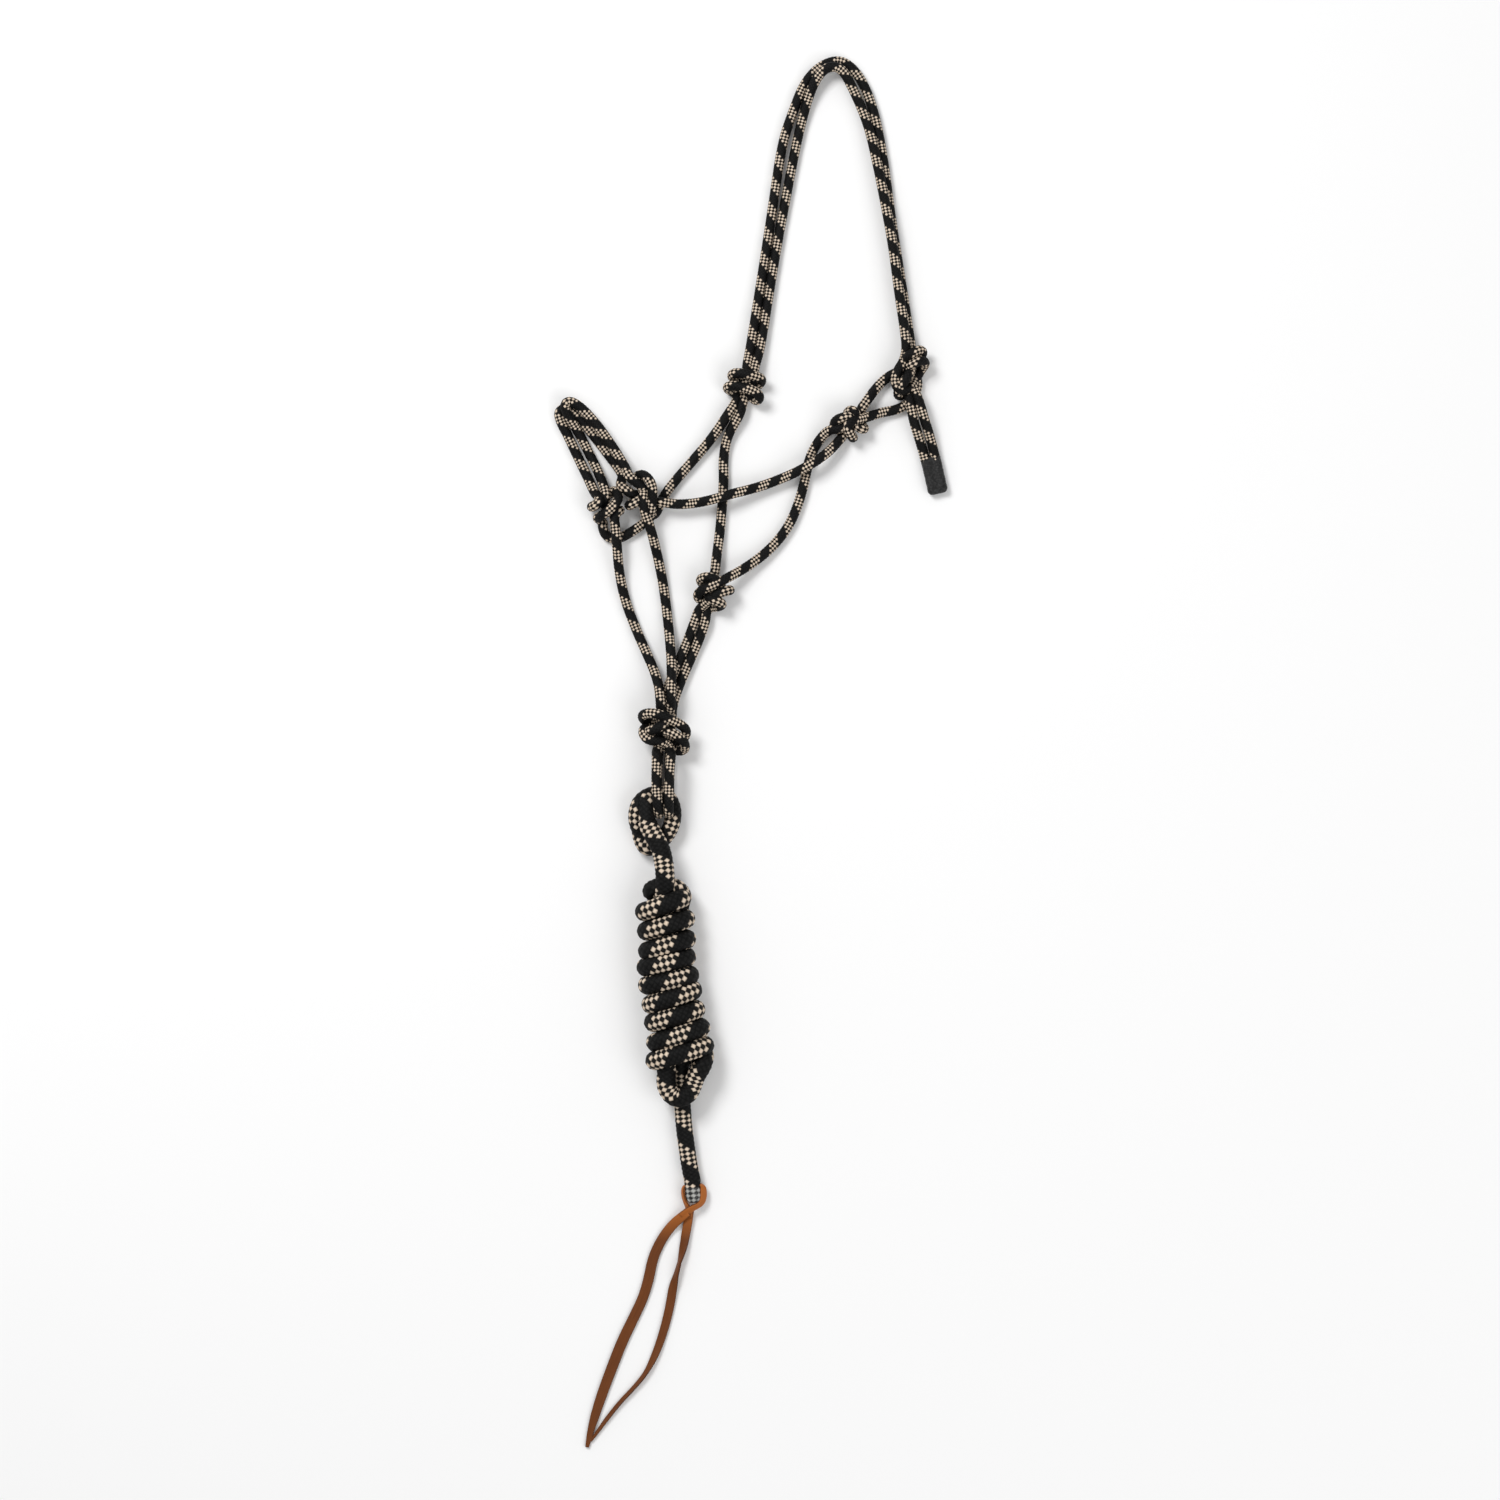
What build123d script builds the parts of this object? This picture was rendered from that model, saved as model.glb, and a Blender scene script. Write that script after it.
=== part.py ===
from build123d import *
import math
import os

# Rope halter with its lead rope and leather popper, laid flat on a surface.
# +X is to the near side, +Y is to the poll, +Z is up from the surface.
# The origin is the centre of the footprint, on the surface. Millimetres.

os.makedirs("parts", exist_ok=True)

# driving dimensions
halter_rope = 8.0            # diameter of the halter's rope
lead_rope = 14.0             # diameter of the lead rope
knot_height = 24.0           # a two-strand knot lying on the surface
knot_lobe = 9.5              # radius of the rope turns round a knot's edge
knot_round = 9.0             # rounding of a knot's upper and lower edges
body_gap = 0.6               # clear space between pieces that turn on each other

fiador_centre = (-72.2, 17.2)
fiador_radius = 20.5
fiador_height = 33.0
tie_centre = (136.7, 317.3)
tie_radius = 17.0
tie_height = 25.0

hank_turn_centre = (-58.9, -282.1)   # middle of the hank's bottom turn
hank_radius = 23.75
hank_height = 42.0
hank_top = (-72.2, -126.0)
hank_top_corner = 16.0

sleeve_width = 16.8
sleeve_height = 9.0
sleeve_top = (154.6, 254.6)
sleeve_bottom = (161.9, 221.9)

hitch_centre = (-82.6, -56.8, 12.0)
hitch_half_width = 16.3
hitch_half_length = 21.0
hitch_tilt = 12.0            # degrees, its top rests on the loops below it

end_start = (-50.0, -366.0)
end_length = 22.0
end_angle = 5.5              # degrees that the rope's end leans from straight down
eye_offset = 6.5             # from the end piece's start to the hole for the leather
eye_radius = 2.6
thong_pin = 2.3              # radius of the leather where it is squeezed in the hole
thong_thickness = 2.6
thong_width = 8.0

# The rope's routes, as corner points along its centre line. Each list runs the way the rope does.
halter_routes = {
    "crown_strand_outer": [
        (-5, 313, 11), (0, 344, 7), (13, 425, 4), (21, 478, 4), (28.5, 523.5, 4), (37, 550.5, 4),
        (46.5, 574.5, 4), (59.5, 589, 4), (75.5, 595, 4), (88.5, 588, 4), (100, 569.5, 4),
        (108.5, 542.5, 4), (115, 506.5, 4), (121.5, 456, 4), (129, 409.5, 4), (136.5, 360.5, 5),
        (139.5, 340.5, 9)],
    "crown_strand_inner": [
        (3.6, 315, 9), (8.8, 345.5, 6), (21.5, 426.5, 4), (29.5, 476.5, 4), (37.5, 521, 4),
        (46.7, 551.5, 4.5), (55, 575.5, 10), (66, 588, 13), (79, 586.5, 13), (89.5, 565, 8),
        (99, 537.5, 5), (105.6, 509, 8), (115.6, 468, 12.7), (123, 431.5, 13), (127.5, 395.5, 13),
        (133.5, 356, 14), (135, 337, 16)],
    "cheek_strand_far": [
        (-14, 308.5, 11), (-18.5, 290.5, 8), (-32, 270, 5), (-51.5, 247.5, 4), (-69.5, 227, 4),
        (-77.5, 213.5, 4), (-86, 200.5, 4), (-100, 190, 4), (-113.5, 182.5, 4), (-124, 185, 4),
        (-127, 194.5, 6), (-126.5, 205, 10)],
    "cheek_strand_near": [
        (83.5, 274.5, 12), (75, 265.5, 10), (67, 257, 12), (58.5, 250.5, 15), (48, 244, 15),
        (32, 236.5, 8), (7, 227, 8), (-16.5, 221, 15), (-31, 216.5, 15), (-45.5, 213.5, 12),
        (-61, 212, 13), (-75.5, 214, 15), (-86, 219.5, 17)],
    "throat_strand_far": [
        (-5, 306, 11), (-8.5, 290, 8), (-19.5, 272, 5), (-23, 253, 4), (-22.5, 232, 4),
        (-24, 210, 4), (-26, 187.5, 4), (-29, 165, 8), (-33.5, 148, 11)],
    "throat_strand_near": [
        (77.5, 284, 12), (66.5, 276, 9), (57.5, 265.5, 5), (50.5, 251, 4), (47.5, 235, 4),
        (42, 213.5, 4), (32.5, 192, 4), (16.5, 173, 5), (-3.5, 158, 8), (-17, 148, 11)],
    "noseband_strand_upper": [
        (-98, 229, 17), (-106.5, 243.5, 15), (-117.5, 261.5, 13), (-130.5, 280, 12.5), (-144, 295, 12.5),
        (-154.5, 301.5, 13), (-159.5, 297.5, 13), (-156, 288, 10), (-148, 276, 4.5), (-138.5, 257, 4),
        (-130.5, 241, 6), (-124.5, 225.5, 11), (-122, 215, 13)],
    "noseband_strand_lower": [
        (-105, 222.5, 12), (-110.5, 237.5, 6), (-119.5, 257, 4.2), (-132, 275.5, 4), (-145, 289.5, 4),
        (-157, 296.5, 4), (-165, 292.5, 4), (-163.5, 283, 4), (-157.5, 271, 4), (-149.5, 253.5, 4),
        (-140.5, 236, 6), (-133, 221.5, 10), (-130.5, 212, 12)],
    "jaw_strand_far": [
        (-118.5, 208, 17), (-115.5, 194.5, 16), (-114, 177, 15), (-112.5, 155, 8),
        (-107.5, 130.5, 4), (-97, 103, 4), (-86, 79, 8), (-78.5, 60, 15), (-76.5, 43, 21),
        (-76.8, 26, 22)],
    "jaw_strand_near": [
        (-90.5, 210, 18), (-86, 194.5, 17), (-81, 175.5, 10), (-75.5, 150.5, 4), (-71.5, 122, 4),
        (-68.5, 93.5, 8), (-67, 72, 15), (-67.7, 51.5, 21), (-67.5, 29, 22)],
    "chin_strand_far": [
        (-43, 129, 12), (-47, 113.5, 7), (-53.5, 95.5, 4), (-62, 75.5, 4), (-70, 57.5, 5),
        (-75.5, 41.5, 8), (-76.5, 26, 9)],
    "chin_strand_near": [
        (-34, 127.5, 12), (-38, 112.5, 7), (-44.5, 94.5, 4), (-53, 75.5, 4), (-61, 57, 5),
        (-66.5, 40.5, 8), (-67.5, 25, 9)],
    "eye_loop": [
        (91, 284.5, 13), (99, 299.5, 9), (108.5, 313, 5), (119.5, 323.5, 4), (131.5, 328, 4),
        (141, 326, 4), (145, 316.5, 4), (141, 305.5, 4), (133.5, 297.5, 4), (124, 293.5, 4),
        (112.5, 291.5, 5), (102.5, 288, 9), (93, 279.5, 13)],
    "tail_strand_left": [
        (137.3, 299, 13), (140.8, 282, 12.2), (145.8, 267.5, 8), (151.1, 249.5, 4.5)],
    "tail_strand_right": [
        (145, 301, 13), (149.4, 285.5, 12.2), (154.7, 270, 8), (160, 249.5, 4.5)],
    "fiador_loop_far": [
        (-79.5, -3.5, 28.5), (-80, -25.5, 28.5), (-78, -53, 28.5), (-78, -53, 4), (-79, -28, 4),
        (-79, -3.5, 4)],
    "fiador_loop_near": [
        (-67.5, -3.5, 28.5), (-70, -25.5, 28.5), (-69.5, -53, 28.5), (-69.5, -53, 4),
        (-70, -28, 4), (-69, -3.5, 4)],
}
lead_routes = {
    "lead_neck": [
        (-88.5, -47.5, 20.5), (-86.5, -60, 22.5), (-81.5, -71, 24.5), (-76.5, -81.5, 26),
        (-73.5, -94, 27), (-72.3, -108, 28.5), (-72.2, -124, 30)],
    "lead_tail": [(-58, -307, 7), (-55, -336.5, 7), (-50, -366, 7)],
}

# The rope turns that stand out round each knot, as circle centres.
knot_turns = {
    "cheek_knot_far": [(-10.3, 319), (-13, 310.5), (3.5, 318), (-1, 306)],
    "cheek_knot_near": [(78.5, 286), (86, 289), (93, 279.5), (86, 272.5)],
    "throat_knot": [(-41, 143.5), (-41.5, 137.5), (-21, 140), (-25.5, 131)],
    "nose_knot_far": [(-129.5, 213.5), (-127.5, 206.5), (-118.5, 217.5), (-118.5, 209)],
    "nose_knot_near": [(-98.6, 230), (-90.5, 231.5), (-86.5, 221.5), (-88, 209), (-97.5, 213.5)],
}
nose_knot_near_lift = 8.5     # the far cheek strand passes under this knot


def turn_radii(points):
    """Largest arc at each corner that its two runs leave room for."""
    radii = []
    for before, corner, after in zip(points, points[1:], points[2:]):
        run_in = Vector(*corner) - Vector(*before)
        run_out = Vector(*after) - Vector(*corner)
        half_turn = math.radians(run_in.get_angle(run_out) / 2)
        radii.append(0.45 * min(run_in.length, run_out.length) / math.tan(half_turn))
    return radii


def rope_tube(name, points, diameter):
    """Straight runs joined by tangent arcs, with the rope's round section."""
    radii = turn_radii(points)
    path = FilletPolyline(*points, radius=radii)
    section = Plane(origin=path @ 0, z_dir=path % 0) * Circle(diameter / 2)
    tube = sweep(section, path=path)
    expected = math.pi * diameter**2 / 4 * path.length
    print(f"{name}: length {path.length:.0f}, tightest radius {min(radii):.1f},"
          f" volume ratio {tube.volume / expected:.4f}")
    return tube


def pebble(outline, height, rounding, lift=0.0):
    """A flat-lying lump with this outline, rounded above and below."""
    lump = extrude(outline, amount=height)
    flat_edges = lump.edges().filter_by_position(Axis.Z, height, height)
    flat_edges += lump.edges().filter_by_position(Axis.Z, 0, 0)
    return Pos(0, 0, lift) * fillet(flat_edges, rounding)


def hull_of_circles(circles):
    """The outline of a cord stretched round these circles (x, y, radius)."""
    rims = [Pos(x, y) * Circle(radius) for x, y, radius in circles]
    return make_hull([edge for rim in rims for edge in rim.edges()])


def knot(name):
    outline = hull_of_circles([(x, y, knot_lobe) for x, y in knot_turns[name]])
    lift = nose_knot_near_lift if name == "nose_knot_near" else 0.0
    height = knot_height - 3 if lift else knot_height
    return pebble(outline, height, knot_round, lift)


def fiador_knot():
    outline = Pos(*fiador_centre) * Circle(fiador_radius)
    return pebble(outline, fiador_height, 12)


def crown_tie():
    """The sheet bend that fastens the crown to the eye loop."""
    upper_turn = (tie_centre[0] + 7, tie_centre[1] + 22.5, 10.5)
    outline = hull_of_circles([(*tie_centre, tie_radius), upper_turn])
    return pebble(outline, tie_height, knot_round)


def tail_sleeve():
    """The tube that grips the two crown ends side by side."""
    along = Vector(*sleeve_bottom) - Vector(*sleeve_top)
    mouth = Plane(
        origin=(*sleeve_top, sleeve_height / 2),
        x_dir=(-along.Y, along.X, 0),
        z_dir=(along.X, along.Y, 0))
    sleeve = extrude(mouth * SlotOverall(sleeve_width, sleeve_height), amount=along.length)
    return fillet(sleeve.faces().sort_by(Axis.Y)[0].edges(), 1.5)


def lead_hitch():
    """The round turn of lead rope that hooks through the fiador loops."""
    ring = Plane(origin=hitch_centre, x_dir=(1, 0, 0),
                 z_dir=(0, -math.sin(math.radians(hitch_tilt)), math.cos(math.radians(hitch_tilt))))
    path = ring * Ellipse(hitch_half_width, hitch_half_length).edge()
    section = Plane(origin=path @ 0, z_dir=path % 0) * Circle(lead_rope / 2)
    return sweep(section, path=path)


def lead_hank():
    """The wound spare length of the lead, as its outer shape."""
    reach = hank_radius - hank_top_corner
    outline = hull_of_circles([
        (*hank_turn_centre, hank_radius),
        (hank_top[0] - reach, hank_top[1] + 0.6, hank_top_corner),
        (hank_top[0] + reach, hank_top[1] - 0.6, hank_top_corner)])
    return pebble(outline, hank_height, hank_top_corner - 1)


def at_lead_eye(shape):
    """Puts a shape made round the rope-end hole, with the rope's end towards -Y, in its place."""
    lean = math.radians(end_angle)
    x = end_start[0] + eye_offset * math.sin(lean)
    y = end_start[1] - eye_offset * math.cos(lean)
    return Pos(x, y, lead_rope / 2) * Rot(0, 0, end_angle) * shape


def lead_end():
    """The sealed end of the lead rope, with the hole that the leather passes through."""
    plug = Pos(0, eye_offset, 0) * Rot(90, 0, 0) * extrude(Circle(lead_rope / 2), amount=end_length)
    plug = fillet(plug.faces().sort_by(Axis.Y)[0].edges(), 6)
    hole = Rot(0, 90, 0) * Cylinder(eye_radius, 2 * lead_rope)
    return at_lead_eye(plug - hole)


def popper_loop():
    """The strap's turn through the hole and round the rope's end."""
    inner_half = lead_rope / 2 + body_gap
    outer_half = inner_half + thong_thickness
    tip = end_length - eye_offset + 2
    outer = Rectangle(2 * outer_half, tip + thong_thickness + thong_width / 2)
    outer = fillet(outer.vertices(), 4)
    inner = Rectangle(2 * inner_half, tip + thong_width / 2)
    shift = (thong_width / 2 - tip) / 2
    strap = Pos(0, shift - thong_thickness / 2, 0) * outer - Pos(0, shift, 0) * inner
    sides = Pos(0, 0, -thong_width / 2) * extrude(strap, amount=thong_width)
    pin = Rot(0, 90, 0) * Cylinder(thong_pin, 2 * outer_half - 1)
    return at_lead_eye(sides + pin)


def popper_knot():
    outline = hull_of_circles([(-52.5, -395, 4.5), (-49.5, -398.5, 4.5)])
    return pebble(outline, 10, 4)


def thong_tail(middle):
    """A flat leather tail that follows (x, y, half width) along its middle."""
    left = []
    right = []
    for index, (x, y, half) in enumerate(middle):
        ahead = middle[min(index + 1, len(middle) - 1)]
        behind = middle[max(index - 1, 0)]
        across = Vector(behind[1] - ahead[1], ahead[0] - behind[0]).normalized() * half
        left.append((x + across.X, y + across.Y))
        right.append((x - across.X, y - across.Y))
    rim = Spline(*left) + Line(left[-1], right[-1]) + Spline(*right) + Line(right[0], left[0])
    return extrude(make_face(rim), amount=thong_thickness)


popper_tails = {
    "popper_tail_long": [
        (-58.5, -401, 4), (-66, -407.5, 4.2), (-77.5, -422, 4.7), (-84.5, -438, 5),
        (-88.5, -460, 5), (-98, -485, 5), (-118.5, -529, 5), (-132.5, -571, 4.2),
        (-138, -588, 3), (-140.3, -598.5, 0.8)],
    "popper_tail_short": [
        (-50.5, -404, 4), (-56.5, -425, 3.9), (-63.5, -447.5, 3.6), (-69, -473, 3.9),
        (-77.5, -506.5, 3.5), (-89.5, -536, 2.8), (-110, -557.5, 2.3), (-124.5, -575, 2)],
}

shapes = {}
for name, points in halter_routes.items():
    shapes[name] = rope_tube(name, points, halter_rope)
for name, points in lead_routes.items():
    shapes[name] = rope_tube(name, points, lead_rope)
for name in knot_turns:
    shapes[name] = knot(name)
shapes["fiador_knot"] = fiador_knot()
shapes["crown_tie"] = crown_tie()
shapes["tail_sleeve"] = tail_sleeve()
shapes["lead_hitch"] = lead_hitch()
shapes["lead_hank"] = lead_hank()
shapes["lead_end"] = lead_end()
shapes["popper_loop"] = popper_loop()
shapes["popper_knot"] = popper_knot()
for name, middle in popper_tails.items():
    shapes[name] = thong_tail(middle)

for name, shape in shapes.items():
    export_step(shape, f"parts/{name}.step")
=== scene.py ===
import bpy, math
import numpy as np
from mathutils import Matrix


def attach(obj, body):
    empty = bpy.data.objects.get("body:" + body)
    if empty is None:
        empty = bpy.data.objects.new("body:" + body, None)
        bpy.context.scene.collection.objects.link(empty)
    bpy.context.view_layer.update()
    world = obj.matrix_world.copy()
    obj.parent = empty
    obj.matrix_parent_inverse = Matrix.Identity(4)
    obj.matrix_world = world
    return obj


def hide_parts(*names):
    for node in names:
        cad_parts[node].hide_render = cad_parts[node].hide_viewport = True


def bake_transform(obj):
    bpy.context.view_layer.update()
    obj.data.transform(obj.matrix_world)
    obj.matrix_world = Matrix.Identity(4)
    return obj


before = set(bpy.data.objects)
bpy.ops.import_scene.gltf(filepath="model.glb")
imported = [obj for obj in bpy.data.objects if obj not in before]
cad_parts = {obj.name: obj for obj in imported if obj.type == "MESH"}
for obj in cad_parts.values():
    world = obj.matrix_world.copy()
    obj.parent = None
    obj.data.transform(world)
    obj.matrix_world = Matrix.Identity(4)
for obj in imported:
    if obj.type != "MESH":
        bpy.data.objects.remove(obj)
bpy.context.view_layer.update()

# Rope halter with lead and leather popper, laid flat. Metres, +Z up from the surface it lies on.

studio = {
    "aim": (0.0, 0.0017), "cameraHeight": 4.0, "frameWidth": 1.29, "clipEnd": 20.0, "sensorWidth": 36,
    "floorSize": 9.0, "floorDrop": 0.0005, "floorColour": (0.93, 0.93, 0.93, 1), "floorRoughness": 0.9,
    "skyStrength": 0.5,
    "keyPlace": (-1.3, 1.6, 2.6), "keyPower": 62, "keySize": 1.1,
    "fillPlace": (1.6, -1.2, 2.2), "fillPower": 22, "fillSize": 2.0}


def addPanelLight(name, place, power, size):
    light = bpy.data.lights.new(name, "AREA")
    light.energy = power
    light.size = size
    holder = bpy.data.objects.new(name, light)
    holder.location = place
    bpy.context.scene.collection.objects.link(holder)
    direction = -np.array(place) / np.linalg.norm(place)
    heading = math.atan2(direction[1], direction[0])
    holder.rotation_euler = (math.acos(-direction[2]), 0, heading - math.pi / 2)


def buildStudio():
    scene = bpy.context.scene
    camera = bpy.data.cameras.new("overhead")
    camera.sensor_width = studio["sensorWidth"]
    camera.lens = studio["sensorWidth"] * studio["cameraHeight"] / studio["frameWidth"]
    camera.clip_end = studio["clipEnd"]
    holder = bpy.data.objects.new("overhead", camera)
    holder.location = (*studio["aim"], studio["cameraHeight"])
    scene.collection.objects.link(holder)
    scene.camera = holder
    scene.view_settings.view_transform = "Standard"
    addPanelLight("keyPanel", studio["keyPlace"], studio["keyPower"], studio["keySize"])
    addPanelLight("fillPanel", studio["fillPlace"], studio["fillPower"], studio["fillSize"])
    world = bpy.data.worlds.new("studioSky")
    world.use_nodes = True
    world.node_tree.nodes["Background"].inputs["Color"].default_value = (1, 1, 1, 1)
    world.node_tree.nodes["Background"].inputs["Strength"].default_value = studio["skyStrength"]
    scene.world = world
    bpy.ops.object.select_all(action="DESELECT")
    bpy.ops.mesh.primitive_plane_add(size=studio["floorSize"], location=(0, 0, -studio["floorDrop"]))
    floor = bpy.context.object
    floor.name = "paleFloor"
    finish = bpy.data.materials.new("paleFloor")
    finish.use_nodes = True
    shader = finish.node_tree.nodes["Principled BSDF"]
    shader.inputs["Base Color"].default_value = studio["floorColour"]
    shader.inputs["Roughness"].default_value = studio["floorRoughness"]
    floor.data.materials.append(finish)
    print("studio: camera, floor and lights")


buildStudio()

# Routes of the stretches between knots, as control points in metres.
strandRoutes = {
    "crownStrandOuter": [
        (0, 0.344, 0.007), (0.013, 0.425, 0.004), (0.021, 0.478, 0.004), (0.0277, 0.5235, 0.004),
        (0.037, 0.5505, 0.004), (0.0465, 0.5745, 0.004), (0.0595, 0.589, 0.004),
        (0.0755, 0.595, 0.004), (0.0885, 0.588, 0.004), (0.1, 0.5695, 0.004), (0.1085, 0.5425, 0.004),
        (0.115, 0.5065, 0.004), (0.1215, 0.456, 0.004), (0.129, 0.4095, 0.004),
        (0.1365, 0.3605, 0.005)],
    "crownStrandInner": [
        (0.0088, 0.3455, 0.006), (0.0215, 0.4265, 0.004), (0.0309, 0.4765, 0.004),
        (0.0394, 0.521, 0.004), (0.0467, 0.5515, 0.0045), (0.055, 0.5755, 0.01), (0.066, 0.588, 0.013),
        (0.079, 0.5865, 0.013), (0.0903, 0.5655, 0.0085), (0.1016, 0.5385, 0.008),
        (0.1082, 0.5096, 0.011), (0.1165, 0.468, 0.0127), (0.123, 0.4315, 0.013),
        (0.1275, 0.3955, 0.013), (0.1335, 0.356, 0.014)],
    "cheekStrandFar": [
        (-0.0185, 0.2905, 0.008), (-0.032, 0.27, 0.005), (-0.0515, 0.2475, 0.004),
        (-0.0695, 0.227, 0.004), (-0.0775, 0.2135, 0.004), (-0.086, 0.2005, 0.004),
        (-0.1, 0.19, 0.004), (-0.1135, 0.1825, 0.004), (-0.124, 0.185, 0.004),
        (-0.127, 0.1945, 0.006)],
    "cheekStrandNear": [
        (0.075, 0.2655, 0.01), (0.067, 0.257, 0.012), (0.0585, 0.2505, 0.015), (0.048, 0.244, 0.015),
        (0.032, 0.2365, 0.008), (0.007, 0.227, 0.008), (-0.0165, 0.221, 0.015),
        (-0.031, 0.2165, 0.015), (-0.0455, 0.2135, 0.012), (-0.061, 0.212, 0.013),
        (-0.0755, 0.214, 0.015)],
    "throatStrandFar": [
        (-0.0085, 0.29, 0.008), (-0.0195, 0.272, 0.005), (-0.023, 0.253, 0.004),
        (-0.0225, 0.232, 0.004), (-0.024, 0.21, 0.004), (-0.026, 0.1875, 0.004),
        (-0.029, 0.165, 0.008)],
    "throatStrandNear": [
        (0.0665, 0.276, 0.009), (0.0575, 0.2655, 0.005), (0.0505, 0.251, 0.004),
        (0.0475, 0.235, 0.004), (0.042, 0.2135, 0.004), (0.0325, 0.192, 0.004), (0.0165, 0.173, 0.005),
        (-0.0035, 0.158, 0.008)],
    "noseStrandUpper": [
        (-0.1065, 0.2435, 0.015), (-0.1175, 0.2615, 0.013), (-0.1305, 0.28, 0.0125),
        (-0.144, 0.295, 0.0125), (-0.1545, 0.3015, 0.013), (-0.1595, 0.2975, 0.013),
        (-0.156, 0.288, 0.01), (-0.148, 0.276, 0.0045), (-0.1385, 0.257, 0.004),
        (-0.1305, 0.241, 0.006), (-0.1245, 0.2255, 0.011)],
    "noseStrandLower": [
        (-0.1089, 0.2381, 0.007), (-0.1217, 0.2554, 0.0042), (-0.1352, 0.2729, 0.004),
        (-0.147, 0.2877, 0.004), (-0.157, 0.2965, 0.004), (-0.165, 0.2925, 0.004),
        (-0.1625, 0.283, 0.004), (-0.1562, 0.2714, 0.004), (-0.1482, 0.2539, 0.004),
        (-0.1396, 0.2363, 0.006), (-0.133, 0.2215, 0.01)],
    "jawStrandFar": [
        (-0.1155, 0.1945, 0.016), (-0.114, 0.177, 0.015), (-0.1125, 0.155, 0.008),
        (-0.1075, 0.1305, 0.004), (-0.097, 0.103, 0.004), (-0.086, 0.079, 0.008),
        (-0.0785, 0.06, 0.015), (-0.0765, 0.043, 0.021)],
    "jawStrandNear": [
        (-0.086, 0.1945, 0.017), (-0.081, 0.1755, 0.01), (-0.0755, 0.1505, 0.004),
        (-0.0715, 0.122, 0.004), (-0.0685, 0.0935, 0.008), (-0.067, 0.072, 0.015),
        (-0.0677, 0.0515, 0.021)],
    "chinStrandFar": [
        (-0.047, 0.1135, 0.007), (-0.0535, 0.0955, 0.004), (-0.062, 0.0755, 0.004),
        (-0.07, 0.0575, 0.005), (-0.0755, 0.0415, 0.008)],
    "chinStrandNear": [
        (-0.038, 0.1125, 0.007), (-0.0445, 0.0945, 0.004), (-0.053, 0.0755, 0.004),
        (-0.061, 0.057, 0.005), (-0.0665, 0.0405, 0.008)],
    "eyeLoop": [
        (0.099, 0.2995, 0.009), (0.1085, 0.313, 0.005), (0.1195, 0.3235, 0.004),
        (0.1315, 0.328, 0.004), (0.141, 0.326, 0.004), (0.145, 0.3165, 0.004), (0.141, 0.3055, 0.004),
        (0.1335, 0.2975, 0.004), (0.124, 0.2935, 0.004), (0.1125, 0.2915, 0.005),
        (0.1025, 0.288, 0.009)],
    "tailStrandLeft": [
        (0.1373, 0.299, 0.013), (0.1408, 0.282, 0.0122), (0.1458, 0.2675, 0.008),
        (0.1511, 0.2495, 0.0045), (0.1532, 0.2405, 0.0045)],
    "tailStrandRight": [
        (0.145, 0.301, 0.013), (0.1494, 0.2855, 0.0122), (0.1547, 0.27, 0.008), (0.16, 0.2495, 0.0045),
        (0.1616, 0.242, 0.0045)],
    "fiadorLoopFar": [
        (-0.0795, -0.0035, 0.0285), (-0.0803, -0.0255, 0.0285), (-0.078, -0.053, 0.0285),
        (-0.078, -0.053, 0.004), (-0.0802, -0.028, 0.004), (-0.079, -0.0035, 0.004)],
    "fiadorLoopNear": [
        (-0.0675, -0.0035, 0.0285), (-0.0694, -0.0255, 0.0285), (-0.0695, -0.053, 0.0285),
        (-0.0695, -0.053, 0.004), (-0.0692, -0.028, 0.004), (-0.069, -0.0035, 0.004)],
    "leadNeck": [
        (-0.0887, -0.06, 0.0225), (-0.0825, -0.071, 0.0245), (-0.0765, -0.0815, 0.026),
        (-0.0735, -0.094, 0.027), (-0.0723, -0.108, 0.0285)],
    "leadTail": [
        (-0.0593, -0.2632, 0.015), (-0.0585, -0.2855, 0.009), (-0.058, -0.307, 0.007),
        (-0.055, -0.3365, 0.007), (-0.05, -0.366, 0.007)],
}

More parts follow.
